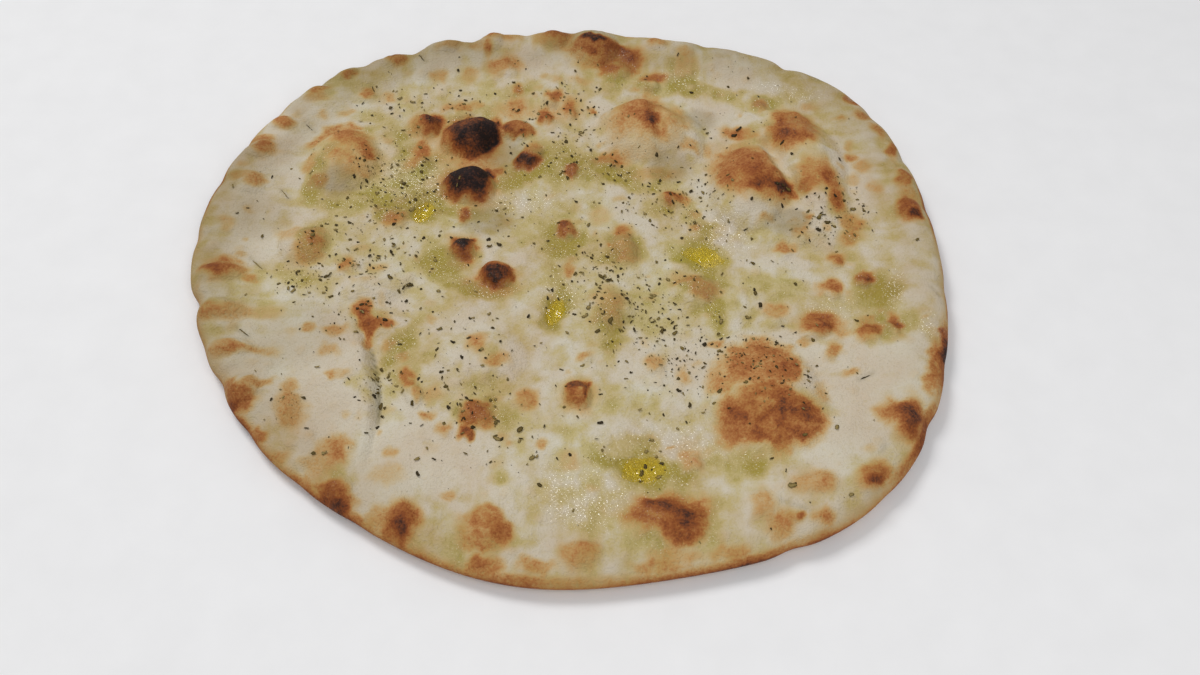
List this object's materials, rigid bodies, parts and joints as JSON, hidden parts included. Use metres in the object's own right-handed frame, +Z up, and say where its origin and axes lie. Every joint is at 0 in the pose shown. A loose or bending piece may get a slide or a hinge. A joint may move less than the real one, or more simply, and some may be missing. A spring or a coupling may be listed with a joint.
{
  "type": "focaccia",
  "caption": "Round, thin oven-baked flatbread with charred and golden blisters, wet with olive oil and sprinkled with dried oregano.",
  "frame": {"origin": "middle of the flat underside, at the centre of the outline's box", "axes": "+X to the eater's right, +Y away from the eater, +Z up out of the top crust"},
  "size_m": [0.3061, 0.2866, 0.0184],
  "materials": {
    "crust": "baked bread crust, matt where floury and glossy where oiled",
    "olive_oil": "clear wet oil"
  },
  "bodies": {
    "root": {"focaccia": "crust", "oil_pool_front": "olive_oil", "oil_pool_middle": "olive_oil", "oil_pool_right": "olive_oil", "oil_pool_left": "olive_oil"}
  },
  "joints": []
}
